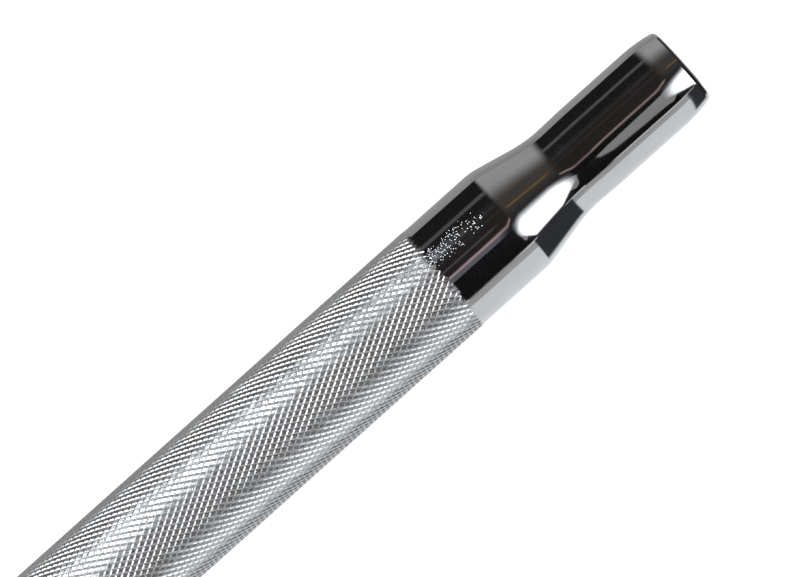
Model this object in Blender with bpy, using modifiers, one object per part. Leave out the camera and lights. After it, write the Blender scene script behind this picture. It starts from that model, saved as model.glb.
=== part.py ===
"""Pocket scriber for marking out metal: a knurled steel handle, a spring collet chuck and a sliding needle.

Metres, +Z up. The tool lies along X on one flat of the chuck's hexagon, with the needle's point at -X.
A station is a distance in millimetres from the handle's blunt rear end, which is at +X, towards the point.
Each turned piece has its own Z axis along the tool, towards the rear end.
"""

import math

import bmesh
import bpy
from mathutils import Quaternion

MM = 0.001

# Driving dimensions, in millimetres.
BODY_R = 5.0  # smooth bands of the handle
KNURL_R = 5.035  # crests of the knurl, which stands a little above the bands
NECK_R = 3.915
WAIST_R = 3.855  # the neck is drawn in slightly beside the taper
HANDLE_LENGTH = 100.0
NEEDLE_R = 1.2
NEEDLE_LENGTH = 88.0
NEEDLE_SHOWING = 31.0  # from the cap's nose to the point, at rest
HEX_ACROSS_FLATS = 11.0
HEX_LENGTH = 6.0
FIT = 0.05  # gap between pieces that are pressed, brazed or clamped together
RUNNING_FIT = 0.025  # gap round the needle where it slides

# Stations of the handle.
NECK_FRONT = 10.2
TAPER_MIDDLE = 16.43
TAPER_MIDDLE_R = 4.42
TAPER_HALF_ANGLE = math.radians(12.7)
TAPER_BLEND_NECK_R = 11.5
TAPER_BLEND_BODY_R = 6.3
KNURL_REAR = 26.25
KNURL_FRONT = 93.0
KNURL_EDGE = 0.15
END_CORNER_R = 0.5
END_EASE_LENGTH = 2.8
END_EASE_DEPTH = 0.30

# Inside of the handle.
TUBE_BORE_R = 3.9
NECK_BORE_R = 2.7
BORE_TAPER_REAR = 12.5
BORE_TAPER_FRONT = 17.5
PLUG_LENGTH = 6.0

# Chuck, from the bush's inner end to the cap's nose.
BUSH_REAR = 88.0
SPRING_SEAT = 91.0
COLLET_REAR = 101.0
HEX_REAR = HANDLE_LENGTH + FIT
HEX_FRONT = HEX_REAR + HEX_LENGTH
SEAT_REAR = 110.0
SEAT_FRONT = 112.5
BUSH_FRONT = 113.0
COLLET_FRONT = 116.5
CAP_REAR = HEX_FRONT + 0.25
GRIP_FRONT = 113.8
CAP_NOSE = 121.0
BUSH_NOSE_R = 3.5
GUIDE_BORE_R = 1.3
CHAMBER_R = 2.35
COLLET_SHANK_R = 2.3
COLLET_HEAD_R = 2.85
COLLET_FACE_R = 1.65
COLLET_SLOTS = 3
SLOT_WIDTH = 0.5
SLOT_REAR = 103.0
CAP_GRIP_R = 4.6
CAP_NOSE_R = 2.0
CAP_HOLE_R = 1.35
GRIP_FLUTES = 40
FLUTE_DEPTH = 0.22
SPRING_WIRE_R = 0.2
SPRING_COIL_R = 1.85
SPRING_TURNS = 7

# Needle: a steel shank with a hard tip brazed into its end.
TOTAL_LENGTH = CAP_NOSE + NEEDLE_SHOWING
NEEDLE_REAR = TOTAL_LENGTH - NEEDLE_LENGTH
TIP_SHOWING = 5.5
TIP_SOCKET = 5.0
TIP_R = 0.5
TIP_CONE = 3.6
TIP_END_R = 0.03
SHANK_FRONT = TOTAL_LENGTH - TIP_SHOWING
SHANK_TAPER = 8.5
SHANK_FRONT_R = 0.72

SEGMENTS = 64  # round the handle and the chuck
FINE_SEGMENTS = 32  # round the needle, collet and plug

AXIS_HEIGHT = HEX_ACROSS_FLATS / 2
REAR_X = TOTAL_LENGTH / 2


def clear_scene():
    for obj in list(bpy.data.objects):
        bpy.data.objects.remove(obj, do_unlink=True)


def new_collection(name, helpers=False):
    collection = bpy.data.collections.new(name)
    collection.hide_render = helpers
    bpy.context.scene.collection.children.link(collection)
    return collection


def metal(name, colour, roughness):
    material = bpy.data.materials.new(name)
    material.use_nodes = True
    shader = material.node_tree.nodes["Principled BSDF"]
    shader.inputs["Base Color"].default_value = (*colour, 1.0)
    shader.inputs["Metallic"].default_value = 1.0
    shader.inputs["Roughness"].default_value = roughness
    material.diffuse_color = (*colour, 1.0)
    return material


def place(obj, station):
    """Puts the object on the tool's axis at a station, with its own Z towards the rear end."""
    obj.location = ((REAR_X - station) * MM, 0.0, AXIS_HEIGHT * MM)
    obj.rotation_euler = (0.0, math.pi / 2, 0.0)


def turned(name, outline, station, material, collection, segments=SEGMENTS, closed=True):
    """A turned piece. Its outline is (station, radius) points, along the outer side first."""
    mesh = bpy.data.meshes.new(name)
    points = [(radius * MM, 0.0, (station - at) * MM) for at, radius in outline]
    edges = [(i, i + 1) for i in range(len(points) - 1)]
    if closed:
        edges.append((len(points) - 1, 0))
    mesh.from_pydata(points, edges, [])
    mesh.materials.append(material)
    obj = bpy.data.objects.new(name, mesh)
    collection.objects.link(obj)
    place(obj, station)
    screw = obj.modifiers.new("Turn", "SCREW")
    screw.axis = "Z"
    screw.angle = math.tau
    screw.steps = segments
    screw.render_steps = segments
    screw.use_merge_vertices = True
    screw.merge_threshold = 1e-6
    screw.use_smooth_shade = True
    return obj


def arc(centre, radius, start, end, steps):
    """Points of an arc in (station, radius), from one angle to the other; 0 points along +station."""
    angles = [start + (end - start) * i / steps for i in range(steps + 1)]
    return [(centre[0] + radius * math.cos(a), centre[1] + radius * math.sin(a)) for a in angles]


def end_outline():
    """The rear end: a tight corner, then the neck's last two millimetres, eased in by the swaging."""
    slope = math.atan(2 * END_EASE_DEPTH / END_EASE_LENGTH)
    join = END_CORNER_R * (1 - math.sin(slope))
    join_r = NECK_R - END_EASE_DEPTH
    centre = (END_CORNER_R, join_r - END_CORNER_R * math.cos(slope))
    corner = arc(centre, END_CORNER_R, math.pi, math.pi / 2 + slope, 5)
    ease = []
    for i in range(1, 6):
        part = i / 5
        ease.append((join + END_EASE_LENGTH * part, NECK_R - END_EASE_DEPTH * (1 - part) ** 2))
    return corner + ease


def taper_outline():
    """The cone from the waist to the body, blended by an arc at each end."""
    rise = math.tan(TAPER_HALF_ANGLE)
    corner_neck = TAPER_MIDDLE - (TAPER_MIDDLE_R - WAIST_R) / rise
    corner_body = TAPER_MIDDLE + (BODY_R - TAPER_MIDDLE_R) / rise
    reach = math.tan(TAPER_HALF_ANGLE / 2)
    above_neck = (corner_neck - TAPER_BLEND_NECK_R * reach, WAIST_R + TAPER_BLEND_NECK_R)
    inside_body = (corner_body + TAPER_BLEND_BODY_R * reach, BODY_R - TAPER_BLEND_BODY_R)
    down = -math.pi / 2
    up = math.pi / 2
    concave = arc(above_neck, TAPER_BLEND_NECK_R, down, down + TAPER_HALF_ANGLE, 5)
    convex = arc(inside_body, TAPER_BLEND_BODY_R, up + TAPER_HALF_ANGLE, up, 5)
    return concave + convex


def handle_tube(material, collection):
    outer = end_outline()
    outer.append((NECK_FRONT, NECK_R))
    outer += taper_outline()
    outer += [
        (KNURL_REAR, BODY_R),
        (KNURL_REAR + KNURL_EDGE, KNURL_R),
        (KNURL_FRONT - KNURL_EDGE, KNURL_R),
        (KNURL_FRONT, BODY_R),
        (HANDLE_LENGTH - 0.3, BODY_R),
        (HANDLE_LENGTH, BODY_R - 0.3),
    ]
    inner = [
        (HANDLE_LENGTH, TUBE_BORE_R),
        (BORE_TAPER_FRONT, TUBE_BORE_R),
        (BORE_TAPER_REAR, NECK_BORE_R),
        (0.0, NECK_BORE_R),
    ]
    return turned("handle_tube", outer + inner, 0.0, material, collection)


def end_plug(material, collection):
    radius = NECK_BORE_R - FIT
    outline = [
        (0.0, 0.0),
        (0.0, radius),
        (PLUG_LENGTH - 0.4, radius),
        (PLUG_LENGTH, radius - 0.4),
        (PLUG_LENGTH, 0.0),
    ]
    return turned("end_plug", outline, 0.0, material, collection, FINE_SEGMENTS, closed=False)


def intersect(obj, cutter):
    modifier = obj.modifiers.new("Form", "BOOLEAN")
    modifier.operation = "INTERSECT"
    modifier.solver = "EXACT"
    modifier.object = cutter


def prism(name, outline, rear, front, collection):
    """A straight bar along the tool, from an outline of (x, y) in millimetres across it."""
    form = bmesh.new()
    face = form.faces.new([form.verts.new((x * MM, y * MM, (rear - front) * MM)) for x, y in outline])
    raised = bmesh.ops.extrude_face_region(form, geom=[face])["geom"]
    bmesh.ops.translate(
        form,
        vec=(0.0, 0.0, (front - rear) * MM),
        verts=[item for item in raised if isinstance(item, bmesh.types.BMVert)],
    )
    bmesh.ops.recalc_face_normals(form, faces=form.faces)
    mesh = bpy.data.meshes.new(name)
    form.to_mesh(mesh)
    form.free()
    obj = bpy.data.objects.new(name, mesh)
    collection.objects.link(obj)
    place(obj, rear)
    obj.hide_render = True
    obj.display_type = "WIRE"
    return obj


def regular(corner_radii, count, turn=0.0):
    """An outline round the axis whose corners take each of the given radii in turn."""
    points = []
    for i in range(count):
        radius = corner_radii[i % len(corner_radii)]
        angle = turn + math.tau * i / count
        points.append((radius * math.cos(angle), radius * math.sin(angle)))
    return points


def chuck_bush(material, collection, helpers):
    spigot_r = TUBE_BORE_R - FIT
    hex_corner_r = HEX_ACROSS_FLATS / math.sqrt(3)
    hex_face_r = HEX_ACROSS_FLATS / 2 - 0.15
    chamfer = (hex_corner_r - hex_face_r) * math.tan(math.radians(30.0))
    outline = [
        (BUSH_REAR, spigot_r - 0.4),
        (BUSH_REAR + 0.4, spigot_r),
        (HEX_REAR, spigot_r),
        (HEX_REAR, hex_face_r),
        (HEX_REAR + chamfer, hex_corner_r),
        (HEX_FRONT - chamfer, hex_corner_r),
        (HEX_FRONT, hex_face_r),
        (HEX_FRONT, BUSH_NOSE_R - 0.45),
        (HEX_FRONT + 0.8, BUSH_NOSE_R - 0.45),
        (HEX_FRONT + 1.25, BUSH_NOSE_R),
        (BUSH_FRONT - 0.3, BUSH_NOSE_R),
        (BUSH_FRONT, BUSH_NOSE_R - 0.3),
        (BUSH_FRONT, COLLET_HEAD_R + FIT),
        (SEAT_FRONT, COLLET_HEAD_R + FIT),
        (SEAT_REAR, CHAMBER_R),
        (SPRING_SEAT, CHAMBER_R),
        (SPRING_SEAT, GUIDE_BORE_R),
        (BUSH_REAR, GUIDE_BORE_R),
    ]
    bush = turned("chuck_bush", outline, HEX_REAR, material, collection)
    corners = regular([hex_corner_r], 6, math.pi / 6)
    intersect(bush, prism("hexagon_cutter", corners, BUSH_REAR - 1, BUSH_FRONT + 1, helpers))
    return bush


def collet_spring(material, collection):
    """A compression spring with closed end turns, between the bush's shoulder and the collet."""
    first = COLLET_REAR - FIT - SPRING_WIRE_R
    last = SPRING_SEAT + FIT + SPRING_WIRE_R
    closed_rise = 2.15 * SPRING_WIRE_R
    steps_per_turn = 14
    count = SPRING_TURNS * steps_per_turn
    open_rise = (first - last - 2 * closed_rise) / (SPRING_TURNS - 2)
    curve = bpy.data.curves.new("collet_spring", "CURVE")
    curve.dimensions = "3D"
    curve.bevel_depth = SPRING_WIRE_R * MM
    curve.bevel_resolution = 2
    curve.use_fill_caps = True
    spline = curve.splines.new("POLY")
    spline.points.add(count)
    for i in range(count + 1):
        turn = i / steps_per_turn
        middle = min(max(turn - 1, 0), SPRING_TURNS - 2)
        ends = turn - middle
        along = last + closed_rise * ends + open_rise * middle
        x = SPRING_COIL_R * math.cos(math.tau * turn)
        y = SPRING_COIL_R * math.sin(math.tau * turn)
        spline.points[i].co = (x * MM, y * MM, (COLLET_REAR - along) * MM, 1.0)
    curve.materials.append(material)
    obj = bpy.data.objects.new("collet_spring", curve)
    collection.objects.link(obj)
    place(obj, COLLET_REAR)
    return obj


def cut_slot(obj, index, helpers):
    """One of the collet's saw cuts, from its front face back to SLOT_REAR, on one side of the axis."""
    form = bmesh.new()
    bmesh.ops.create_cube(form, size=1.0)
    length = COLLET_FRONT - SLOT_REAR + 1.0
    reach = COLLET_HEAD_R + 1.0
    bmesh.ops.scale(form, vec=(reach * MM, SLOT_WIDTH * MM, length * MM), verts=form.verts)
    bmesh.ops.translate(form, vec=(reach / 2 * MM, 0.0, -length / 2 * MM), verts=form.verts)
    mesh = bpy.data.meshes.new(f"slot_cutter_{index}")
    form.to_mesh(mesh)
    form.free()
    cutter = bpy.data.objects.new(mesh.name, mesh)
    helpers.objects.link(cutter)
    place(cutter, SLOT_REAR)
    cutter.rotation_mode = "QUATERNION"
    turn = math.tau * index / COLLET_SLOTS
    cutter.rotation_quaternion = obj.rotation_euler.to_quaternion() @ Quaternion((0.0, 0.0, 1.0), turn)
    cutter.hide_render = True
    cutter.display_type = "WIRE"
    modifier = obj.modifiers.new(f"Slot {index}", "BOOLEAN")
    modifier.operation = "DIFFERENCE"
    modifier.solver = "EXACT"
    modifier.object = cutter


def collet(material, collection, helpers):
    bore = NEEDLE_R + RUNNING_FIT
    outline = [
        (COLLET_REAR, bore + 0.25),
        (COLLET_REAR, COLLET_SHANK_R - 0.15),
        (COLLET_REAR + 0.15, COLLET_SHANK_R),
        (SEAT_REAR, COLLET_SHANK_R),
        (SEAT_FRONT, COLLET_HEAD_R),
        (COLLET_FRONT, COLLET_FACE_R),
        (COLLET_FRONT, bore),
        (COLLET_REAR + 0.25, bore),
    ]
    piece = turned("collet", outline, COLLET_REAR, material, collection, FINE_SEGMENTS)
    for index in range(COLLET_SLOTS):
        cut_slot(piece, index, helpers)
    return piece


def chuck_cap(material, collection, helpers):
    gap = FIT + 0.01
    cone = (COLLET_HEAD_R - COLLET_FACE_R) / (COLLET_FRONT - SEAT_FRONT)
    step_front = BUSH_FRONT + 0.6
    cone_start_r = COLLET_HEAD_R - cone * (step_front - SEAT_FRONT) + gap
    cone_end = COLLET_FRONT + 0.3
    cone_end_r = COLLET_HEAD_R - cone * (cone_end - SEAT_FRONT) + gap
    grip_rear = CAP_REAR + 0.6
    shoulder_r = CAP_GRIP_R - FLUTE_DEPTH - 0.08
    outline = [
        (CAP_REAR, shoulder_r),
        (grip_rear, shoulder_r),
        (grip_rear + 0.15, CAP_GRIP_R),
        (GRIP_FRONT - 0.15, CAP_GRIP_R),
        (GRIP_FRONT, shoulder_r),
        (GRIP_FRONT + 0.7, shoulder_r),
        (CAP_NOSE - 0.3, CAP_NOSE_R),
        (CAP_NOSE, CAP_NOSE_R - 0.25),
        (CAP_NOSE, CAP_HOLE_R),
        (cone_end, CAP_HOLE_R),
        (cone_end, cone_end_r),
        (step_front, cone_start_r),
        (step_front, BUSH_NOSE_R + FIT),
        (CAP_REAR, BUSH_NOSE_R + FIT),
    ]
    cap = turned("chuck_cap", outline, CAP_REAR, material, collection, 2 * GRIP_FLUTES)
    edge = math.pi / (5 * GRIP_FLUTES)  # a small turn, so that no flute's edge lies on a turned edge
    flutes = regular([CAP_GRIP_R + 0.02, CAP_GRIP_R - FLUTE_DEPTH], 2 * GRIP_FLUTES, edge)
    intersect(cap, prism("flute_cutter", flutes, CAP_REAR - 1, CAP_NOSE + 1, helpers))
    return cap


def needle_shank(material, collection):
    socket_r = TIP_R + FIT
    outline = [
        (NEEDLE_REAR, 0.0),
        (NEEDLE_REAR, NEEDLE_R - 0.35),
        (NEEDLE_REAR + 0.35, NEEDLE_R),
        (SHANK_FRONT - SHANK_TAPER, NEEDLE_R),
        (SHANK_FRONT, SHANK_FRONT_R),
        (SHANK_FRONT, socket_r),
        (SHANK_FRONT - TIP_SOCKET, socket_r),
        (SHANK_FRONT - TIP_SOCKET, 0.0),
    ]
    return turned("needle_shank", outline, NEEDLE_REAR, material, collection, FINE_SEGMENTS, closed=False)


def carbide_tip(material, collection):
    rear = SHANK_FRONT - TIP_SOCKET + FIT
    outline = [
        (rear, 0.0),
        (rear, TIP_R),
        (TOTAL_LENGTH - TIP_CONE, TIP_R),
        (TOTAL_LENGTH, TIP_END_R),
        (TOTAL_LENGTH, 0.0),
    ]
    return turned("carbide_tip", outline, SHANK_FRONT, material, collection, FINE_SEGMENTS, closed=False)


def main():
    clear_scene()
    parts = new_collection("scriber")
    helpers = new_collection("cutters", helpers=True)
    chrome = metal("handle_chrome", (0.78, 0.78, 0.80), 0.12)
    plug_steel = metal("plug_steel", (0.66, 0.66, 0.67), 0.22)
    bush_chrome = metal("bush_chrome", (0.74, 0.74, 0.76), 0.16)
    spring_steel = metal("spring_steel", (0.42, 0.42, 0.44), 0.30)
    collet_steel = metal("collet_steel", (0.30, 0.29, 0.28), 0.34)
    cap_chrome = metal("cap_chrome", (0.77, 0.77, 0.79), 0.14)
    needle_steel = metal("needle_steel", (0.58, 0.57, 0.56), 0.24)
    carbide = metal("carbide", (0.26, 0.26, 0.28), 0.30)
    handle_tube(chrome, parts)
    end_plug(plug_steel, parts)
    chuck_bush(bush_chrome, parts, helpers)
    collet_spring(spring_steel, parts)
    collet(collet_steel, parts, helpers)
    chuck_cap(cap_chrome, parts, helpers)
    needle_shank(needle_steel, parts)
    carbide_tip(carbide, parts)


main()
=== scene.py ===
"""Looks of the pocket scriber: its knurled and plated handle, hexagon, fluted cap and ground needle.

Lengths are in millimetres until a mesh is made. A station is a distance from the handle's blunt rear end,
which is at +X, towards the needle's point at -X. Angles round the tool start at its top and grow towards
-Y.
"""

import math

import bmesh
import bpy
import numpy as np
from mathutils import Matrix, Vector


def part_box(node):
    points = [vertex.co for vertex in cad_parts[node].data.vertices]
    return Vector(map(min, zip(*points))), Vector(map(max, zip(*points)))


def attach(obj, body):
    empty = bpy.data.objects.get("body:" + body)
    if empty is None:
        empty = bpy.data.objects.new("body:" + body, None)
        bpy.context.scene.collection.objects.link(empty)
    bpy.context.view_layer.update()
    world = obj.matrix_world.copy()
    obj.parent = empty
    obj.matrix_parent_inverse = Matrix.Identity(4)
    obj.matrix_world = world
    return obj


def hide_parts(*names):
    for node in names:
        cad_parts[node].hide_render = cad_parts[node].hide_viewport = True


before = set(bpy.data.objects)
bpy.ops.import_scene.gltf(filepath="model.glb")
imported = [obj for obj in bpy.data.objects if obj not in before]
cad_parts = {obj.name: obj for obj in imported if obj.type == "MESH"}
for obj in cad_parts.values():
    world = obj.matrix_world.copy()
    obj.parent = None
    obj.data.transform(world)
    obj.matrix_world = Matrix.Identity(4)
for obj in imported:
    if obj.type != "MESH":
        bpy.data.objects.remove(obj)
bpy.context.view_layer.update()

MM = 0.001
SEED = 7

# Where the tool lies, from the frame.
tube_low, tube_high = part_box("handle_tube")
REAR_X = tube_high.x / MM
AXIS_Z = (tube_low.z + tube_high.z) / 2 / MM
HANDLE_LENGTH = (tube_high.x - tube_low.x) / MM

# Handle, as part.py has it.
BODY_R = 5.0
CREST_RISE = 0.035
NECK_R = 3.915
WAIST_R = 3.855
NECK_FRONT = 10.2
TAPER_MIDDLE = 16.43
TAPER_MIDDLE_R = 4.42
TAPER_HALF_ANGLE = math.radians(12.7)
TAPER_BLEND_NECK_R = 11.5
TAPER_BLEND_BODY_R = 6.3
END_CORNER_R = 0.5
END_EASE_LENGTH = 2.8
END_EASE_DEPTH = 0.30
TUBE_BORE_R = 3.9
NECK_BORE_R = 2.7
BORE_CHAMFER = 0.08
FRONT_EDGE_R = 0.3
BORE_TAPER_REAR = 12.5
BORE_TAPER_FRONT = 17.5
KNURL_REAR = 26.25
KNURL_FRONT = 93.0

# Knurl: two families of grooves, cut by two rolls that don't quite match.
KNURL_A_COUNT = 57
KNURL_B_COUNT = 59
KNURL_A_PERIOD = 0.8746  # along the tool
KNURL_B_PERIOD = 0.9646
GROOVE_DEPTH = 0.062
GROOVE_WIDTH_A = (0.25, 0.25)  # of its two walls, as a share of the distance from groove to groove
GROOVE_WIDTH_B = (0.23, 0.16)
RUN_OUT = 0.45  # length over which a groove fades away at the knurl's ends
RUN_OUT_SPREAD = 0.12
FADED_WIDTH = 0.3  # of a groove that has faded away, as a share of its full width
GROOVE_DEPTH_SPREAD = 0.08  # how far one groove's depth may be from the next, as a share
CREST_TILT = 0.004  # how far a crest's corners may stand above or below it
CREST_TILTS = 4096  # different tilts to draw from
GROOVE = "groove"  # the mesh's attribute for dullness: 1 at the bottom of a groove
GROOVE_DULL = 0.25  # roughness added there
CREST_DULL = 0.75  # dullness of the crests
KNURL_SEAM = 0.05  # between the knurl's net and the rings beside it

# Plug, chuck and needle, as part.py has them.
PLUG_R = 2.65
PLUG_LENGTH = 6.0
BUSH_REAR = 88.0
SPIGOT_R = 3.85
SPRING_SEAT = 91.0
HEX_REAR = 100.05
HEX_FRONT = 106.05
HEX_APOTHEM = 5.5
HEX_FACE_R = 5.35  # of the chamfered corners' inner edge
SEAT_REAR = 110.0
SEAT_FRONT = 112.5
BUSH_FRONT = 113.0
BUSH_NOSE_R = 3.5
UNDERCUT = 0.45  # depth of the groove behind the thread
UNDERCUT_LENGTH = 0.8
GUIDE_BORE_R = 1.3
CHAMBER_R = 2.35
THREAD_PITCH = 0.75  # as the joints' coupling has it
THREAD_DEPTH = 0.40
THREAD_REAR = HEX_FRONT + 1.0
THREAD_FRONT = BUSH_FRONT - 0.2
COLLET_REAR = 101.0
COLLET_FRONT = 116.5
COLLET_SHANK_R = 2.3
COLLET_HEAD_R = 2.85
COLLET_FACE_R = 1.65
COLLET_BORE_R = 1.225
COLLET_SLOTS = 3
SLOT_WIDTH = 0.5
SLOT_REAR = 103.0
CAP_REAR = 106.3
CAP_NOSE = 121.0
GRIP_REAR = 106.9
GRIP_FRONT = 113.8
CAP_GRIP_R = 4.6
CAP_NOSE_R = 2.0
CAP_HOLE_R = 1.35
CAP_SHOULDER_R = 4.3
GRIP_FLUTES = 40
FLUTE_DEPTH = 0.22
NEEDLE_REAR = 64.0
NEEDLE_R = 1.2
SHANK_FRONT = 146.5
SHANK_TAPER = 8.5
SHANK_FRONT_R = 0.72
TIP_SOCKET = 5.0
TIP_R = 0.5
TIP_CONE = 3.6
TIP_END_R = 0.03
POINT = 152.0
FIT = 0.05
EDGE_R = 0.12  # of machined edges

CHROME = (0.57, 0.575, 0.585)

# Pits in the plate, on top of the band behind the knurl.
PIT_STATIONS = (20.2, 26.0)
PIT_MIDDLE = -0.45  # along Y
PIT_REACH = 0.85
PIT_SIZE = 0.15
PIT_DEPTH = 0.025
PIT_EDGE = 0.6  # over which the patch of pits fades at its sides
PIT_CROWD = 0.9  # size of the clouds in which pits are many or few
PIT_FEWEST = 0.1  # as a share of the cells
PIT_MOST = 0.65
PIT_DULL = 0.10

SEGMENTS = 192
FLUTED_SEGMENTS = 480
COLLET_SEGMENTS = 96
SMOOTH_UP_TO = math.radians(35)  # edges between faces at a larger angle are sharp
KNURL_SMOOTH_UP_TO = math.radians(16)


def arc(centre, radius, start, end, steps):
    angles = [start + (end - start) * i / steps for i in range(steps + 1)]
    return [(centre[0] + radius * math.cos(a), centre[1] + radius * math.sin(a)) for a in angles]


def straight(a, b, steps):
    """Points from a to b, without a itself."""
    across = b[0] - a[0], b[1] - a[1]
    return [(a[0] + across[0] * i / steps, a[1] + across[1] * i / steps) for i in range(1, steps + 1)]


def end_outline():
    slope = math.atan(2 * END_EASE_DEPTH / END_EASE_LENGTH)
    join = END_CORNER_R * (1 - math.sin(slope))
    centre = (END_CORNER_R, NECK_R - END_EASE_DEPTH - END_CORNER_R * math.cos(slope))
    corner = arc(centre, END_CORNER_R, math.pi, math.pi / 2 + slope, 10)
    ease = []
    for i in range(1, 11):
        part = i / 10
        ease.append((join + END_EASE_LENGTH * part, NECK_R - END_EASE_DEPTH * (1 - part) ** 2))
    return corner + ease


def taper_outline():
    rise = math.tan(TAPER_HALF_ANGLE)
    corner_neck = TAPER_MIDDLE - (TAPER_MIDDLE_R - WAIST_R) / rise
    corner_body = TAPER_MIDDLE + (BODY_R - TAPER_MIDDLE_R) / rise
    reach = math.tan(TAPER_HALF_ANGLE / 2)
    above_neck = (corner_neck - TAPER_BLEND_NECK_R * reach, WAIST_R + TAPER_BLEND_NECK_R)
    inside_body = (corner_body + TAPER_BLEND_BODY_R * reach, BODY_R - TAPER_BLEND_BODY_R)
    down = -math.pi / 2
    up = math.pi / 2
    concave = arc(above_neck, TAPER_BLEND_NECK_R, down, down + TAPER_HALF_ANGLE, 12)
    convex = arc(inside_body, TAPER_BLEND_BODY_R, up + TAPER_HALF_ANGLE, up, 12)
    return concave + convex


def to_world(station, angle, radius):
    """Row-frame points, in metres, as an array of x, y, z."""
    return np.stack(
        [
            (REAR_X - station) * MM,
            -radius * np.sin(angle) * MM,
            (AXIS_Z + radius * np.cos(angle)) * MM,
        ],
        axis=-1,
    )


def grid_mesh(stations, radii, segments=SEGMENTS):
    """Points and quads of a turned surface, with a radius for each station or for each point."""
    stations = np.asarray(stations, float)
    angles = np.arange(segments) * math.tau / segments
    radii = np.asarray(radii, float)
    if radii.ndim == 1:
        radii = np.repeat(radii[:, None], segments, axis=1)
    grid_s = np.repeat(stations[:, None], segments, axis=1)
    grid_a = np.repeat(angles[None, :], len(stations), axis=0)
    points = to_world(grid_s, grid_a, radii).reshape(-1, 3)
    index = np.arange(len(stations) * segments).reshape(len(stations), segments)
    after = np.roll(index, -1, axis=1)
    quads = np.stack([index[:-1], index[1:], after[1:], after[:-1]], axis=-1).reshape(-1, 4)
    return points, quads


def smoothstep(x):
    x = np.clip(x, 0.0, 1.0)
    return x * x * (3 - 2 * x)


def knurl_lattice(rear, front):
    """Points, faces and dullness of the knurl, on a net whose lines follow the grooves.

    Each groove has three lines of points: its bottom and its two edges. A point is named by (i, j), where
    i // 3 and j // 3 number the grooves of the two families.
    """
    rng = np.random.default_rng(SEED)
    per_a = KNURL_A_COUNT / math.tau
    per_b = KNURL_B_COUNT / math.tau
    mix = per_a / KNURL_B_PERIOD + per_b / KNURL_A_PERIOD
    late_a = rng.uniform(-1, 1, KNURL_A_COUNT) * RUN_OUT_SPREAD
    late_b = rng.uniform(-1, 1, KNURL_B_COUNT) * RUN_OUT_SPREAD
    deep_a = 1 + rng.uniform(-1, 1, KNURL_A_COUNT) * GROOVE_DEPTH_SPREAD
    deep_b = 1 + rng.uniform(-1, 1, KNURL_B_COUNT) * GROOVE_DEPTH_SPREAD

    def place(u, v):
        angle = (u / KNURL_B_PERIOD + v / KNURL_A_PERIOD) / mix
        station = (per_b * u - per_a * v) / mix
        return station, angle

    def fade(station, late):
        rear_part = smoothstep((station - rear - RUN_OUT_SPREAD - late) / RUN_OUT)
        front_part = smoothstep((front - RUN_OUT_SPREAD + late - station) / RUN_OUT)
        return rear_part * front_part

    low_i = 3 * math.floor(rear / KNURL_A_PERIOD) - 6
    high_i = 3 * math.ceil(KNURL_A_COUNT + front / KNURL_A_PERIOD) + 6
    low_j = 3 * math.floor(-front / KNURL_B_PERIOD) - 6
    high_j = 3 * math.ceil(KNURL_B_COUNT - rear / KNURL_B_PERIOD) + 6
    i, j = np.meshgrid(np.arange(low_i, high_i), np.arange(low_j, high_j), indexing="ij")
    station, angle = place((i + 0.5) / 3, (j + 0.5) / 3)
    margin = KNURL_A_PERIOD
    wanted = (angle >= 0) & (angle < math.tau) & (station > rear - margin) & (station < front + margin)
    i = i[wanted]
    j = j[wanted]
    corners_i = np.stack([i, i + 1, i + 1, i], axis=-1)
    corners_j = np.stack([j, j, j + 1, j + 1], axis=-1)
    _, corner_angle = place(corners_i / 3, corners_j / 3)
    turns = np.floor(corner_angle / math.tau + 1e-9).astype(int)
    corners_i = corners_i - 3 * KNURL_A_COUNT * turns
    corners_j = corners_j - 3 * KNURL_B_COUNT * turns
    names, quads = np.unique(
        np.stack([corners_i.ravel(), corners_j.ravel()], axis=-1), axis=0, return_inverse=True
    )
    quads = quads.reshape(-1, 4)
    # Where two grooves cross, a quad is folded from their shared bottom to the crest's corner.
    fold = np.where((i % 3 == 1) | (j % 3 == 1), 0, np.where(i % 3 == j % 3, 1, 2))
    faces = [quads[fold == 0].tolist()]
    for kind, halves in ((1, ((0, 1, 2), (0, 2, 3))), (2, ((0, 1, 3), (1, 2, 3)))):
        faces += [quads[fold == kind][:, half].tolist() for half in halves]
    groove_a, line_a = np.divmod(names[:, 0], 3)
    groove_b, line_b = np.divmod(names[:, 1], 3)
    station, _ = place(names[:, 0] / 3, names[:, 1] / 3)

    def family(groove, line, widths, count, late, deep):
        near = (groove + (line == 2)) % count
        strength = fade(station, late[near])
        share = FADED_WIDTH + (1 - FADED_WIDTH) * strength
        offset = np.choose(line, [0 * share, widths[0] * share, 1 - widths[1] * share])
        depth = GROOVE_DEPTH * strength * deep[near] * (line == 0)
        return groove + offset, depth

    u, depth_a = family(groove_a, line_a, GROOVE_WIDTH_A, KNURL_A_COUNT, late_a, deep_a)
    v, depth_b = family(groove_b, line_b, GROOVE_WIDTH_B, KNURL_B_COUNT, late_b, deep_b)
    station, angle = place(u, v)
    raised = CREST_RISE * smoothstep((station - rear) / RUN_OUT) * smoothstep((front - station) / RUN_OUT)
    depth = np.maximum(depth_a, depth_b) / GROOVE_DEPTH
    radius = BODY_R + raised - depth * GROOVE_DEPTH
    # Each crest is a facet of its own, with a tilt of its own.
    crest = (groove_a * 7919 + groove_b * 104729) % CREST_TILTS  # two primes scatter the draws
    tilts = rng.uniform(-1, 1, (CREST_TILTS, 2)) * CREST_TILT
    on_crest = (line_a > 0) & (line_b > 0)
    lean = tilts[crest, 0] * np.sign(line_a - 1.5) + tilts[crest, 1] * np.sign(line_b - 1.5)
    radius = radius + lean * on_crest * (raised / CREST_RISE)
    dullness = np.maximum(depth, CREST_DULL * raised / CREST_RISE)
    return to_world(station, angle, radius), sum(faces, []), dullness


def angle_of(co):
    return math.atan2(-co.y, co.z - AXIS_Z * MM) % math.tau


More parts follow.
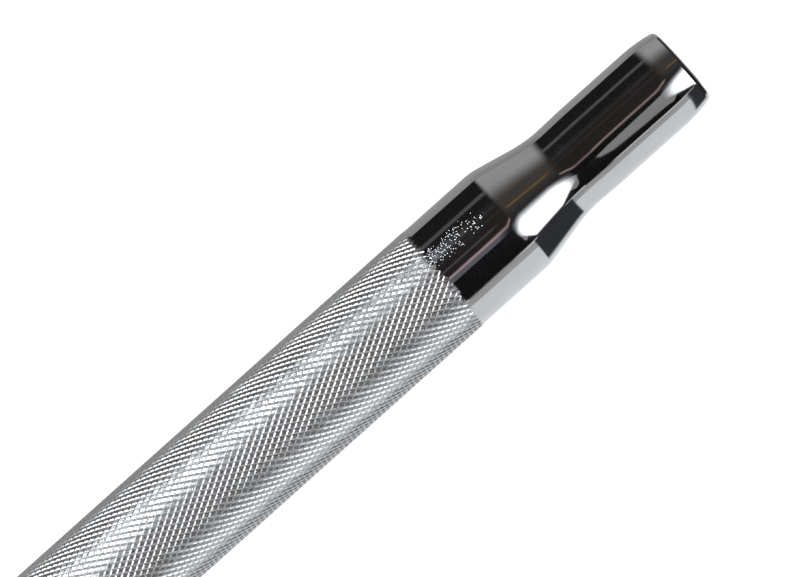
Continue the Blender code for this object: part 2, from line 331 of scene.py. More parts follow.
def stitch(mesh, loop_a, loop_b):
    """Fills between two rings of vertices with triangles, walking round both at once."""
    a = sorted(loop_a, key=lambda v: angle_of(v.co))
    b = sorted(loop_b, key=lambda v: angle_of(v.co))
    angles_a = [angle_of(v.co) for v in a] + [angle_of(a[0].co) + math.tau]
    angles_b = [angle_of(v.co) for v in b] + [angle_of(b[0].co) + math.tau]
    i = 0
    j = 0
    while i < len(a) or j < len(b):
        if j == len(b) or (i < len(a) and angles_a[i + 1] <= angles_b[j + 1]):
            mesh.faces.new((a[i % len(a)], a[(i + 1) % len(a)], b[j % len(b)]))
            i += 1
        else:
            mesh.faces.new((a[i % len(a)], b[(j + 1) % len(b)], b[j % len(b)]))
            j += 1


def finished(name, mesh, material, body, sharp=SMOOTH_UP_TO):
    """An object from a bmesh, shaded smooth but for its sharp edges, riding on its CAD body."""
    bmesh.ops.recalc_face_normals(mesh, faces=mesh.faces)
    data = bpy.data.meshes.new(name)
    mesh.to_mesh(data)
    mesh.free()
    data.shade_smooth()
    data.set_sharp_from_angle(angle=sharp)
    data.materials.append(material)
    obj = bpy.data.objects.new(name, data)
    bpy.context.scene.collection.objects.link(obj)
    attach(obj, body)
    return obj


def add_grid(mesh, points, faces, dullness=None):
    layer = mesh.verts.layers.float.get(GROOVE) or mesh.verts.layers.float.new(GROOVE)
    verts = [mesh.verts.new(p) for p in points]
    if dullness is not None:
        for vert, dull in zip(verts, dullness):
            vert[layer] = dull
    for face in faces:
        mesh.faces.new([verts[k] for k in face])
    return verts


def make_handle(material):
    rear = KNURL_REAR - RUN_OUT_SPREAD
    front = KNURL_FRONT + RUN_OUT_SPREAD
    mesh = bmesh.new()
    add_grid(mesh, *knurl_lattice(rear, front))
    for station, side in ((rear, 1.0), (front, -1.0)):
        plane = Vector(((REAR_X - station) * MM, 0.0, 0.0))
        geometry = mesh.verts[:] + mesh.edges[:] + mesh.faces[:]
        bmesh.ops.bisect_plane(
            mesh, geom=geometry, dist=1e-9, plane_co=plane, plane_no=(side, 0, 0), clear_outer=True
        )
    edges = [e for e in mesh.edges if e.is_boundary]
    rims = {v for e in edges for v in e.verts}
    middle = (REAR_X - (rear + front) / 2) * MM
    rear_rim = [v for v in rims if v.co.x > middle]
    front_rim = [v for v in rims if v.co.x < middle]
    outline = [(rear - n * KNURL_SEAM, BODY_R) for n in (1, 2, 4)]
    outline += straight(outline[-1], (taper_outline()[-1][0], BODY_R), 4)
    outline += taper_outline()[::-1][1:]
    neck_front = (NECK_FRONT, NECK_R)
    outline += straight(outline[-1], neck_front, 6)
    outline += straight(neck_front, end_outline()[-1], 6)
    outline += end_outline()[::-1][1:]
    outline += straight(outline[-1], (0.0, NECK_BORE_R + BORE_CHAMFER), 2)
    outline += straight(outline[-1], (BORE_CHAMFER, NECK_BORE_R), 2)
    outline += [(BORE_TAPER_REAR, NECK_BORE_R), (BORE_TAPER_FRONT, TUBE_BORE_R)]
    outline += [(HANDLE_LENGTH, TUBE_BORE_R)]
    outline += straight(outline[-1], (HANDLE_LENGTH, BODY_R - FRONT_EDGE_R), 2)
    corner = (HANDLE_LENGTH - FRONT_EDGE_R, BODY_R - FRONT_EDGE_R)
    outline += arc(corner, FRONT_EDGE_R, 0, math.pi / 2, 6)[1:]
    outline += straight(outline[-1], (front + 4 * KNURL_SEAM, BODY_R), 3)
    outline += [(front + n * KNURL_SEAM, BODY_R) for n in (2, 1)]
    points, quads = grid_mesh([p[0] for p in outline], [p[1] for p in outline])
    verts = add_grid(mesh, points, quads)
    stitch(mesh, rear_rim, verts[:SEGMENTS])
    stitch(mesh, front_rim, verts[-SEGMENTS:])
    obj = finished("handle", mesh, material, "handle", KNURL_SMOOTH_UP_TO)
    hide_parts("handle_tube")


def rounded(outline, radius, closed, steps=5):
    """The outline with each sharp corner eased, from a radius before it to a radius after it."""
    count = len(outline)
    found = []
    for k, corner in enumerate(outline):
        corner = np.array(corner, float)
        if not closed and k in (0, count - 1):
            found.append(corner)
            continue
        back = np.array(outline[k - 1], float) - corner
        ahead = np.array(outline[(k + 1) % count], float) - corner
        lengths = np.hypot(*back), np.hypot(*ahead)
        turn = 1 + back @ ahead / (lengths[0] * lengths[1])  # 0 where the outline runs straight on
        reach = min(radius, 0.45 * min(lengths))
        if turn < 0.02:
            found.append(corner)
            continue
        start = corner + back / lengths[0] * reach
        end = corner + ahead / lengths[1] * reach
        for i in range(steps + 1):
            t = i / steps
            found.append((1 - t) ** 2 * start + 2 * t * (1 - t) * corner + t**2 * end)
    return found + found[:1] if closed else found


def turned_piece(name, node, body, material, outline, closed=True, limit=None, segments=SEGMENTS):
    """A turned piece for a CAD node. limit(station, angle) is the largest radius that it may have there."""
    points = np.array(rounded(outline, EDGE_R, closed))
    stations = points[:, 0]
    radii = np.repeat(points[:, 1:], segments, axis=1)
    if limit:
        angles = np.arange(segments) * math.tau / segments
        radii = limit(stations[:, None], angles[None, :], radii)
    mesh = bmesh.new()
    add_grid(mesh, *grid_mesh(stations, radii, segments))
    bmesh.ops.remove_doubles(mesh, verts=mesh.verts, dist=1e-7)
    obj = finished(name, mesh, material, body)
    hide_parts(node)


def soft_min(a, b, width):
    """The smaller of the two, eased where they are about equal."""
    part = np.clip(0.5 + 0.5 * (b - a) / width, 0.0, 1.0)
    return b * (1 - part) + a * part - width * part * (1 - part)


def make_plug(material):
    dimple_r = 0.55
    step = 0.12
    outline = [
        (dimple_r, 0.0),
        (step, dimple_r),
        (step, PLUG_R - 0.5),
        (0.0, PLUG_R - 0.38),
        (0.0, PLUG_R - 0.12),
        (0.12, PLUG_R),
        (PLUG_LENGTH - 0.4, PLUG_R),
        (PLUG_LENGTH, PLUG_R - 0.4),
        (PLUG_LENGTH, 0.0),
    ]
    turned_piece("end_plug_turned", "end_plug", "handle", material, outline, closed=False)


def bush_limit(station, angle, radii):
    """Six flats on the hexagon and a right-handed thread on the nose."""
    sixth = math.tau / 6
    from_flat = (angle + sixth / 2) % sixth - sixth / 2
    flats = HEX_APOTHEM / np.cos(from_flat)
    on_hexagon = (station > HEX_REAR - FIT) & (station < HEX_FRONT + FIT)
    radii = np.where(on_hexagon, soft_min(radii, flats, 0.05), radii)
    phase = (station - HEX_FRONT) / THREAD_PITCH + angle / math.tau
    ridge = np.clip(1.25 - 2.5 * np.abs(phase % 1.0 - 0.5), 0.0, 1.0)
    outside = radii > BUSH_NOSE_R - UNDERCUT
    threaded = (station > THREAD_REAR) & (station < THREAD_FRONT) & outside
    return np.where(threaded, np.minimum(radii, BUSH_NOSE_R - THREAD_DEPTH * ridge), radii)


def make_bush(material):
    corner_r = HEX_APOTHEM / math.cos(math.tau / 12)
    chamfer = (corner_r - HEX_FACE_R) * math.tan(math.radians(30.0))
    face_rear = (HEX_REAR, HEX_FACE_R)
    face_front = (HEX_FRONT - chamfer, corner_r)
    nose_rear = (THREAD_REAR + 0.25, BUSH_NOSE_R)
    outline = [(BUSH_REAR, SPIGOT_R - 0.4), (BUSH_REAR + 0.4, SPIGOT_R), (HEX_REAR, SPIGOT_R), face_rear]
    outline += straight(face_rear, (HEX_REAR + chamfer, corner_r), 8)
    outline += straight(outline[-1], face_front, 6)
    outline += straight(face_front, (HEX_FRONT, HEX_FACE_R), 8)
    undercut_r = BUSH_NOSE_R - UNDERCUT
    outline += [(HEX_FRONT, undercut_r), (HEX_FRONT + UNDERCUT_LENGTH, undercut_r), nose_rear]
    outline += straight(nose_rear, (BUSH_FRONT - 0.3, BUSH_NOSE_R), 90)
    outline += [
        (BUSH_FRONT, BUSH_NOSE_R - 0.3),
        (BUSH_FRONT, COLLET_HEAD_R + FIT),
        (SEAT_FRONT, COLLET_HEAD_R + FIT),
        (SEAT_REAR, CHAMBER_R),
        (SPRING_SEAT, CHAMBER_R),
        (SPRING_SEAT, GUIDE_BORE_R),
        (BUSH_REAR, GUIDE_BORE_R),
    ]
    turned_piece(
        "hexagon_bush", "chuck_bush", "handle", material, outline, limit=bush_limit
    )


def make_collet(material):
    """A ring with three jaws, parted by saw cuts."""
    mesh = bmesh.new()
    ring = [
        (COLLET_REAR, COLLET_BORE_R + 0.25),
        (COLLET_REAR, COLLET_SHANK_R - 0.15),
        (COLLET_REAR + 0.15, COLLET_SHANK_R),
        (SLOT_REAR, COLLET_SHANK_R),
        (SLOT_REAR, COLLET_BORE_R),
        (COLLET_REAR + 0.25, COLLET_BORE_R),
    ]
    add_grid(mesh, *grid_mesh(*np.array(ring + ring[:1]).T, COLLET_SEGMENTS))
    jaw = [
        (SLOT_REAR, COLLET_SHANK_R),
        (SEAT_REAR, COLLET_SHANK_R),
        (SEAT_FRONT, COLLET_HEAD_R),
        (COLLET_FRONT, COLLET_FACE_R),
        (COLLET_FRONT, COLLET_BORE_R),
        (SLOT_REAR, COLLET_BORE_R),
    ]
    stations, radii = np.array(rounded(jaw, EDGE_R, closed=True)).T
    steps = 24
    share = np.arange(steps + 1) / steps
    cut = np.arcsin(SLOT_WIDTH / 2 / radii)[:, None]
    across = math.tau / COLLET_SLOTS - 2 * cut
    for k in range(COLLET_SLOTS):
        angles = math.tau * k / COLLET_SLOTS + cut + across * share
        points = to_world(stations[:, None] + 0 * angles, angles, radii[:, None] + 0 * angles)
        verts = np.array([[mesh.verts.new(p) for p in row] for row in points[:-1]])
        after = np.roll(verts, -1, axis=0)
        for m in range(steps):
            for row, next_row in zip(verts, after):
                mesh.faces.new((row[m], next_row[m], next_row[m + 1], row[m + 1]))
        mesh.faces.new(verts[:, 0])
        mesh.faces.new(verts[:, -1])
    bmesh.ops.remove_doubles(mesh, verts=mesh.verts, dist=1e-7)
    obj = finished("slotted_collet", mesh, material, "collet")
    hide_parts("collet")


def cap_limit(station, angle, radii):
    """Straight flutes round the grip."""
    phase = angle / math.tau * GRIP_FLUTES % 1.0
    ridge = np.abs(phase - 0.5) * 2
    flute = CAP_GRIP_R - FLUTE_DEPTH + (FLUTE_DEPTH + 0.05) * ridge
    return soft_min(radii, flute + 0 * station, 0.03)


def make_cap(material):
    gap = FIT + 0.01
    cone = (COLLET_HEAD_R - COLLET_FACE_R) / (COLLET_FRONT - SEAT_FRONT)
    step_front = BUSH_FRONT + 0.6
    cone_end = COLLET_FRONT + 0.3
    grip_start = (GRIP_REAR, CAP_SHOULDER_R)
    grip_end = (GRIP_FRONT - 0.2, CAP_GRIP_R)
    outline = [(CAP_REAR + 0.1, CAP_SHOULDER_R - 0.15), grip_start]
    outline += straight(grip_start, (GRIP_REAR + 0.2, CAP_GRIP_R), 4)
    outline += straight(outline[-1], grip_end, 8)
    outline += straight(grip_end, (GRIP_FRONT, CAP_SHOULDER_R), 4)
    outline += [
        (GRIP_FRONT + 0.7, CAP_SHOULDER_R),
        (CAP_NOSE - 0.3, CAP_NOSE_R),
        (CAP_NOSE, CAP_NOSE_R - 0.25),
        (CAP_NOSE, CAP_HOLE_R + 0.15),
        (CAP_NOSE - 0.15, CAP_HOLE_R),
        (cone_end, CAP_HOLE_R),
        (cone_end, COLLET_HEAD_R - cone * (cone_end - SEAT_FRONT) + gap),
        (step_front, COLLET_HEAD_R - cone * (step_front - SEAT_FRONT) + gap),
        (step_front, BUSH_NOSE_R + FIT),
        (CAP_REAR + 0.2, BUSH_NOSE_R + FIT),
        (CAP_REAR, BUSH_NOSE_R + FIT + 0.2),
        (CAP_REAR, CAP_SHOULDER_R - 0.25),
    ]
    turned_piece(
        "fluted_cap",
        "chuck_cap",
        "cap",
        material,
        outline,
        limit=cap_limit,
        segments=FLUTED_SEGMENTS,
    )


def make_needle(material):
    socket_r = TIP_R + FIT
    outline = [
        (NEEDLE_REAR, 0.0),
        (NEEDLE_REAR, NEEDLE_R - 0.35),
        (NEEDLE_REAR + 0.35, NEEDLE_R),
        (SHANK_FRONT - SHANK_TAPER, NEEDLE_R),
        (SHANK_FRONT - 0.1, SHANK_FRONT_R),
        (SHANK_FRONT, socket_r + 0.02),
        (SHANK_FRONT, socket_r),
        (SHANK_FRONT - TIP_SOCKET, socket_r),
        (SHANK_FRONT - TIP_SOCKET, 0.0),
    ]
    turned_piece("ground_needle", "needle_shank", "needle", material, outline, closed=False)


def make_tip(material):
    rear = SHANK_FRONT - TIP_SOCKET + FIT
    cone = (POINT - TIP_CONE, TIP_R)
    outline = [(rear, 0.0), (rear, TIP_R), cone]
    outline += straight(cone, (POINT, TIP_END_R), 6)
    outline += [(POINT, 0.0)]
    turned_piece("hard_tip", "carbide_tip", "needle", material, outline, closed=False)


class Graph:
    """A node tree, with short ways to add to it."""

    def __init__(self, tree):
        self.nodes = tree.nodes
        self.links = tree.links

    def fill(self, node, values):
        for slot, value in zip(node.inputs, values):
            if isinstance(value, bpy.types.NodeSocket):
                self.links.new(value, slot)
            else:
                slot.default_value = value

    def vector(self, operation, *values):
        node = self.nodes.new("ShaderNodeVectorMath")
        node.operation = operation
        self.fill(node, values)
        return node.outputs["Vector"]

    def dot(self, vector, axis):
        node = self.nodes.new("ShaderNodeVectorMath")
        node.operation = "DOT_PRODUCT"
        self.fill(node, (vector, axis))
        return node.outputs["Value"]

    def math(self, operation, *values):
        node = self.nodes.new("ShaderNodeMath")
        node.operation = operation
        self.fill(node, values)
        return node.outputs[0]

    def ramp(self, value, start, end, low=0.0, high=1.0):
        node = self.nodes.new("ShaderNodeMapRange")
        node.interpolation_type = "SMOOTHSTEP"
        self.fill(node, (value, start, end, low, high))
        return node.outputs[0]

    def between(self, value, low, high, soft):
        rising = self.ramp(value, low - soft[0] / 2, low + soft[0] / 2)
        falling = self.ramp(value, high + soft[1] / 2, high - soft[1] / 2)
        return self.math("MULTIPLY", rising, falling)

    def mix(self, part, a, b):
        node = self.nodes.new("ShaderNodeMix")
        node.data_type = "RGBA"
        self.links.new(part, node.inputs["Factor"])
        for slot, colour in (("A", a), ("B", b)):
            if isinstance(colour, bpy.types.NodeSocket):
                self.links.new(colour, node.inputs[slot])
            else:
                node.inputs[slot].default_value = (*colour, 1.0)
        return node.outputs["Result"]


class Finish(Graph):
    """A metal whose colour and roughness vary a little, with marks left by its making and its use."""

    def __init__(self, name, colour, roughness):
        self.material = bpy.data.materials.new(name)
        self.material.use_nodes = True
        super().__init__(self.material.node_tree)
        self.shader = self.nodes["Principled BSDF"]
        self.shader.inputs["Metallic"].default_value = 1.0
        self.place = self.nodes.new("ShaderNodeTexCoord").outputs["Object"]
        self.height = None
        clouds = self.ramp(self.noise((5.0, 1.6, 1.6)), 0.35, 0.65)
        duller = [0.93 * colour[0], 0.93 * colour[1], 0.925 * colour[2]]
        self.colour = self.mix(clouds, colour, duller)
        smears = self.ramp(self.noise((2.2, 3.0, 3.0), seed=3.0), 0.4, 0.7)
        self.rough = self.math("MULTIPLY_ADD", smears, 0.35 * roughness, 0.85 * roughness)

    def noise(self, size, seed=0.0, detail=2.0):
        """Noise whose features are about this long, in millimetres, along X, Y and Z."""
        node = self.nodes.new("ShaderNodeTexNoise")
        node.noise_dimensions = "4D"
        scaled = self.vector("MULTIPLY", self.place, tuple(1 / (length * MM) for length in size))
        self.links.new(scaled, node.inputs["Vector"])
        node.inputs["W"].default_value = seed
        node.inputs["Scale"].default_value = 1.0
        node.inputs["Detail"].default_value = detail
        return node.outputs["Fac"]

    def raise_by(self, value, height):
        """Adds to the surface's relief: height, in millimetres, where value is 1."""
        part = self.math("MULTIPLY", value, height)
        self.height = part if self.height is None else self.math("ADD", self.height, part)

    def marks(self, size, width, depth, share, seed, dull):
        """Scratches, where noise of this size is near the middle of its range, on a share of the metal."""
        near = self.math("ABSOLUTE", self.math("SUBTRACT", self.noise(size, seed, 1.0), 0.5))
        line = self.ramp(near, width, 0.0)
        here = self.ramp(self.noise((6.0, 2.0, 2.0), seed + 5.0), 0.62 - share, 0.72 - share)
        line = self.math("MULTIPLY", line, here)
        self.raise_by(line, -depth)
        self.rough = self.math("MULTIPLY_ADD", line, dull, self.rough)

    def close(self):
        bump = self.nodes.new("ShaderNodeBump")
        bump.inputs["Strength"].default_value = 1.0
        bump.inputs["Distance"].default_value = MM
        self.links.new(self.height, bump.inputs["Height"])
        self.links.new(bump.outputs["Normal"], self.shader.inputs["Normal"])
        self.links.new(self.colour, self.shader.inputs["Base Color"])
        self.links.new(self.rough, self.shader.inputs["Roughness"])
        return self.material


def handle_finish():
    """Bright plate: duller in the grooves, faintly wavy, scratched, and pitted on top of the rear band."""
    finish = Finish("handle_chrome", CHROME, 0.06)
    groove = finish.nodes.new("ShaderNodeAttribute")
    groove.attribute_name = GROOVE
    in_groove = finish.ramp(groove.outputs["Fac"], 0.0, 1.0, 0.0, GROOVE_DULL)
    finish.rough = finish.math("ADD", finish.rough, in_groove)
    finish.raise_by(finish.noise((3.0, 1.0, 1.0), seed=1.0), 0.0012)
    finish.marks((0.25, 3.0, 3.0), 0.02, 0.0003, 0.04, seed=11.0, dull=0.03)
    finish.marks((2.5, 0.3, 0.3), 0.015, 0.0003, 0.04, seed=17.0, dull=0.03)
    split = finish.nodes.new("ShaderNodeSeparateXYZ")
    finish.links.new(finish.place, split.inputs[0])
    x, y, z = split.outputs
    rear_x = (REAR_X - PIT_STATIONS[0]) * MM
    front_x = (REAR_X - PIT_STATIONS[1]) * MM
    along = finish.ramp(x, rear_x, front_x + 0.6 * (rear_x - front_x))
    sides = (PIT_MIDDLE - PIT_REACH) * MM, (PIT_MIDDLE + PIT_REACH) * MM
    across = finish.between(y, *sides, (PIT_EDGE * MM, PIT_EDGE * MM))
    above = finish.math("GREATER_THAN", z, AXIS_Z * MM)
    patch = finish.math("MULTIPLY", finish.math("MULTIPLY", along, across), above)
    cells = finish.nodes.new("ShaderNodeTexVoronoi")
    scaled = finish.vector("MULTIPLY", finish.place, (1 / (PIT_SIZE * MM),) * 3)
    finish.links.new(scaled, cells.inputs["Vector"])
    cells.inputs["Scale"].default_value = 1.0
    pit = finish.ramp(cells.outputs["Distance"], 0.45, 0.05)
    drawn = finish.nodes.new("ShaderNodeSeparateColor")
    finish.links.new(cells.outputs["Color"], drawn.inputs[0])
    clouds = finish.noise((PIT_CROWD,) * 3, seed=23.0)
    crowding = finish.ramp(clouds, 0.35, 0.65, PIT_FEWEST, PIT_MOST)
    chosen = finish.math("LESS_THAN", drawn.outputs[0], crowding)
    pits = finish.math("MULTIPLY", finish.math("MULTIPLY", pit, chosen), patch)
    finish.raise_by(pits, -PIT_DEPTH)
    finish.rough = finish.math("MULTIPLY_ADD", pits, PIT_DULL, finish.rough)
    return finish.close()


def turned_finish(name, colour, roughness, line_length=0.12, line_height=0.0006, wear=0.06):
    """Metal with fine rings left by the lathe or the grinding wheel, and a few scratches."""
    finish = Finish(name, colour, roughness)
    finish.raise_by(finish.noise((line_length, 6.0, 6.0), seed=2.0, detail=3.0), line_height)
    finish.raise_by(finish.noise((2.5, 1.2, 1.2), seed=4.0), 0.0008)
    finish.marks((0.3, 2.5, 2.5), 0.02, 0.0012, wear, seed=12.0, dull=0.08)
    finish.marks((2.2, 0.35, 0.35), 0.02, 0.0012, wear, seed=18.0, dull=0.08)
    return finish.close()


# Camera: above the tool, to its -Y side and a little towards its point. It is turned so that the tool runs
# up to the right.
VIEW_LEAN = math.radians(26.4)  # from straight above, towards -Y
VIEW_TILT = math.radians(0.6)  # from square to the tool, towards its point
VIEW_ROLL = math.radians(41.8)
VIEW_DISTANCE = 920.0
VIEW_WIDTH = 65.63
VIEW_STATION = 29.56  # of the picture's centre
VIEW_ASIDE = 1.73  # from the tool's axis to the picture's centre, across the tool
SENSOR = 36.0

ALONG = Vector((1.0, 0.0, 0.0))
ABOVE = Vector((0.0, -math.sin(VIEW_LEAN), math.cos(VIEW_LEAN)))  # square to the tool, past the camera
ASIDE = ABOVE.cross(ALONG)  # across the tool in the picture, towards its upper side
TO_CAMERA = ABOVE * math.cos(VIEW_TILT) - ALONG * math.sin(VIEW_TILT)


def make_camera():
    data = bpy.data.cameras.new("camera")
    data.sensor_width = SENSOR
    data.lens = SENSOR * VIEW_DISTANCE / VIEW_WIDTH
    data.clip_start = 0.01
    data.clip_end = 50.0
    camera = bpy.data.objects.new("camera", data)
    bpy.context.scene.collection.objects.link(camera)
    target = Vector(((REAR_X - VIEW_STATION) * MM, 0.0, AXIS_Z * MM)) + ASIDE * VIEW_ASIDE * MM
    forward = ASIDE.cross(TO_CAMERA)
    right = math.cos(VIEW_ROLL) * forward - math.sin(VIEW_ROLL) * ASIDE
    up = math.sin(VIEW_ROLL) * forward + math.cos(VIEW_ROLL) * ASIDE
    axes = Matrix((right, up, TO_CAMERA)).transposed().to_4x4()
    camera.matrix_world = Matrix.Translation(target + TO_CAMERA * VIEW_DISTANCE * MM) @ axes
    bpy.context.scene.camera = camera


# Softboxes over the tool, as (station, lower turn, upper turn) of each end and bend of their outline.
# Studio says what a turn is.
LAMP_HEIGHT = 200.0
CARD_HEIGHT = 50.0
SHARP_END = 1.0
LAMP_LIGHT = (0.95, 0.98, 1.0)
LAMP = ((15.0, -26.5, -16.0), (56.0, -26.5, -16.0), (90.0, -32.5, -11.0))
FAR_LAMP = ((90.0, -32.5, -11.0), (121.0, -38.0, -8.0), (411.0, -38.0, -8.0))
SKY = ((19.0, -25.0, -16.0), (33.0, -25.0, -16.0))
SHELF = ((17.5, 3.5, 9.5), (29.0, 3.5, 9.5))
WEDGE = ((-30.0, 7.0, 27.0), (-4.0, 8.6, 25.0), (11.0, 13.5, 14.8))
STRING = ((18.0, -4.2, -2.4), (28.0, -4.2, -2.4))


class Studio(Graph):
    """The world. Floor and camera see a plain pale room; shiny metal sees a darker one, with panels in it.

    A panel stays where it is put, whatever looks at it. It is placed by the surfaces that show it from the
    main camera, in degrees: `turn` is how far the surface is turned about the tool from that camera's side,
    growing towards -Y, and `slope` is how far it leans towards the tool's rear end.
    """

    def __init__(self, pale, room):
        world = bpy.data.worlds.new("studio")
        bpy.context.scene.world = world
        world.use_nodes = True
        super().__init__(world.node_tree)
        self.nodes.clear()
        direction = self.nodes.new("ShaderNodeTexCoord").outputs["Generated"]
        facing = self.vector("NORMALIZE", self.vector("ADD", direction, TO_CAMERA))
        forward = self.dot(facing, ABOVE)
        aside = self.dot(facing, -ASIDE)
        self.turn = self.math("MULTIPLY", self.math("ARCTAN2", aside, forward), 180 / math.pi)
        self.slope = self.math("MULTIPLY", self.math("ARCSINE", self.dot(facing, ALONG)), 180 / math.pi)
        self.pale = pale
        self.colour = room

    def add(self, colour, turn, slope=(-90, 90), soft=1.0, soft_turn=None, soft_slope=None, fan=(0, 0)):
        """Paints a panel. fan is by how much each end of turn moves for each degree of slope."""
        soft_turn = soft_turn or (soft, soft)
        soft_slope = soft_slope or (soft, soft)
        ends = []
        for end, spread, width, side in zip(turn, fan, soft_turn, (1, -1)):
            moved = self.math("SUBTRACT", self.turn, self.math("MULTIPLY", self.slope, spread))
            ends.append(self.ramp(moved, end - side * width / 2, end + side * width / 2))
        across = self.math("MULTIPLY", *ends)
        along = self.between(self.slope, *slope, soft_slope)
        self.colour = self.mix(self.math("MULTIPLY", across, along), self.colour, colour)

    def close(self):
        rays = self.nodes.new("ShaderNodeLightPath")
        seen = self.mix(rays.outputs["Is Glossy Ray"], self.pale, self.colour)
        background = self.nodes.new("ShaderNodeBackground")
        self.links.new(seen, background.inputs["Color"])
        output = self.nodes.new("ShaderNodeOutputWorld")
        self.links.new(background.outputs[0], output.inputs["Surface"])


def make_studio():
    studio = Studio(pale=(1.35, 1.35, 1.35), room=(0.30, 0.30, 0.31))
    studio.add((0.026, 0.024, 0.022), (-60, 34), (-8, 52), soft_slope=(1, 6))
    # The room that the tool's length shows, from its upper side to its lower side.
    studio.add((0.014, 0.014, 0.014), (-60, -24), (-8, 5))
    studio.add((0.12, 0.118, 0.115), (-38.5, -34.5), (-8, 5), soft=2.5)
    studio.add((0.008, 0.008, 0.009), (6.5, 33), (-8, 6))
    studio.add((0.045, 0.04, 0.038), (-20.5, -18.5), (-8, 5))
    studio.add((0.04, 0.036, 0.034), (-13.5, -11.5), (-8, 5))
    studio.add((0.42, 0.27, 0.27), (3.2, 5.4), (-1, 5.5), soft=1.6, fan=(-0.8, -0.8))
    # What leans towards the point: a grey room.
    studio.add((0.30, 0.30, 0.295), (-90, -28), (-90, -6), soft=4.0)
    studio.add((0.40, 0.40, 0.40), (-28, 33), (-90, -6), soft=4.0)
    studio.add((0.75, 0.75, 0.75), (15, 33), (-90, -6), soft_turn=(20, 4), soft_slope=(4, 4))
    # What leans towards the rear end: a grey wall that fades, a window and a warm lamp.
    studio.add((0.075, 0.068, 0.062), (-60, -4), (5.8, 30), soft_turn=(1, 20), soft_slope=(4, 8))
    studio.add((0.46, 0.45, 0.44), (-60, -31), (5.8, 30), soft_turn=(1, 24), soft_slope=(4, 8))
    studio.add((0.26, 0.14, 0.03), (-10.8, -9.2), (9, 30), soft_turn=(1.2, 1.2), soft_slope=(3, 4))
    studio.add(
        (3.2, 3.3, 3.4), (12, 16), (5.8, 16.5), soft_turn=(13, 4), soft_slope=(10, 0.6), fan=(-0.4, 1.05)
    )
    studio.add((0.55, 0.55, 0.55), (33.5, 35), (-8, 90), soft=1.0)
    studio.add((1.1, 1.1, 1.1), (32.4, 33.5), (0.42, 12), soft_slope=(0.2, 2))
    # Table: its far side is dimmer, and it ends past the tool's rear end.
    studio.add((0.42, 0.41, 0.40), (-200, -59))
    for turn in (-60.5, -65):
        studio.add((0.27, 0.27, 0.27), (turn, turn + 1.5), (2.5, 30))
    studio.add((0.52, 0.52, 0.52), (35.5, 200))
    studio.add((0.94, 0.96, 0.98), (41, 200))
    studio.add((0.045, 0.047, 0.052), (33, 67), (8.4, 16), soft_turn=(1, 9), soft_slope=(1, 1))
    studio.add((0.03, 0.031, 0.034), (33, 62), (14.7, 55), soft_turn=(1, 9), soft_slope=(0.3, 6))
    studio.close()


def make_softbox(name, outline, height, colour, strength, fade=SHARP_END):
    """A level card that only shiny metal sees. Its light rises over a length, fade, from its rear end."""
    mesh = bmesh.new()
    rows = []
    for station, *turns in outline:
        x = REAR_X - station
        places = [-math.tan(math.radians(2 * turn) + VIEW_LEAN) * height for turn in turns]
        rows.append([mesh.verts.new((x * MM, y * MM, (height + AXIS_Z) * MM)) for y in places])
    for row, after in zip(rows, rows[1:]):
        mesh.faces.new((row[0], row[1], after[1], after[0]))
    data = bpy.data.meshes.new(name)
    mesh.to_mesh(data)
    mesh.free()
    card = bpy.data.objects.new(name, data)
    bpy.context.scene.collection.objects.link(card)
    for seen in ("visible_camera", "visible_diffuse", "visible_shadow", "visible_transmission"):
        setattr(card, seen, False)
    material = bpy.data.materials.new(name)
    material.use_nodes = True
    graph = Graph(material.node_tree)
    graph.nodes.clear()
    split = graph.nodes.new("ShaderNodeSeparateXYZ")
    graph.links.new(graph.nodes.new("ShaderNodeTexCoord").outputs["Generated"], split.inputs[0])
    length = outline[-1][0] - outline[0][0]
    rise = graph.ramp(split.outputs["X"], 1.0, 1.0 - fade / length)
    glow = graph.nodes.new("ShaderNodeEmission")
    glow.inputs["Color"].default_value = (*colour, 1.0)
    light = graph.math("MULTIPLY", graph.math("POWER", rise, 2.0), strength)
    graph.links.new(light, glow.inputs["Strength"])
    both = graph.nodes.new("ShaderNodeAddShader")
    graph.links.new(glow.outputs[0], both.inputs[0])
    graph.links.new(graph.nodes.new("ShaderNodeBsdfTransparent").outputs[0], both.inputs[1])
    output = graph.nodes.new("ShaderNodeOutputMaterial")
    graph.links.new(both.outputs[0], output.inputs["Surface"])
    card.data.materials.append(material)


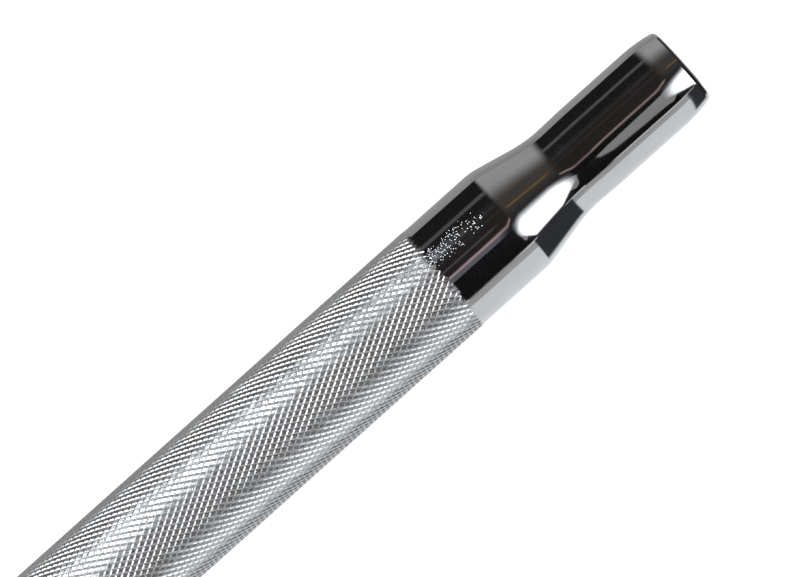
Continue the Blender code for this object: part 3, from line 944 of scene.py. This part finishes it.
def make_floor():
    """A white floor. It gives off its own light, and shiny metal doesn't see it."""
    bpy.ops.mesh.primitive_plane_add(size=16.0)
    floor = bpy.context.object
    floor.name = "floor"
    floor.visible_glossy = False
    material = bpy.data.materials.new("floor")
    material.use_nodes = True
    shader = material.node_tree.nodes["Principled BSDF"]
    shader.inputs["Base Color"].default_value = (0.05, 0.05, 0.05, 1.0)
    shader.inputs["Roughness"].default_value = 0.9
    shader.inputs["Specular IOR Level"].default_value = 0.0
    shader.inputs["Emission Color"].default_value = (1.0, 1.0, 1.0, 1.0)
    shader.inputs["Emission Strength"].default_value = 1.0
    floor.data.materials.append(material)


def main():
    bpy.context.scene.view_settings.view_transform = "Standard"
    make_handle(handle_finish())
    make_plug(turned_finish("plug_steel", (0.55, 0.545, 0.54), 0.24, 0.10, 0.0012))
    make_bush(turned_finish("bush_chrome", CHROME, 0.09))
    make_collet(turned_finish("collet_steel", (0.24, 0.225, 0.21), 0.34))
    make_cap(turned_finish("cap_chrome", CHROME, 0.08))
    make_needle(turned_finish("needle_steel", (0.50, 0.49, 0.48), 0.20, 0.10, 0.0015, wear=0.1))
    make_tip(turned_finish("carbide", (0.22, 0.22, 0.235), 0.28, 0.08, 0.0012))
    spring_finish = turned_finish("spring_steel", (0.36, 0.355, 0.35), 0.28)
    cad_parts["collet_spring"].data.materials[0] = spring_finish
    make_floor()
    make_studio()
    make_softbox("overhead_lamp", LAMP, LAMP_HEIGHT, LAMP_LIGHT, 9.0, fade=40.0)
    make_softbox("far_lamp", FAR_LAMP, LAMP_HEIGHT, LAMP_LIGHT, 2.6)
    make_softbox("sky_card", SKY, CARD_HEIGHT, (0.15, 0.4, 1.0), 0.22, fade=12.0)
    make_softbox("shelf_card", SHELF, CARD_HEIGHT, (0.9, 0.84, 1.0), 0.17, fade=2.0)
    make_softbox("wedge_card", WEDGE, CARD_HEIGHT, (1.0, 1.0, 1.0), 0.32)
    make_softbox("string_card", STRING, CARD_HEIGHT, (1.0, 0.75, 0.85), 0.08, fade=2.0)
    make_camera()


main()
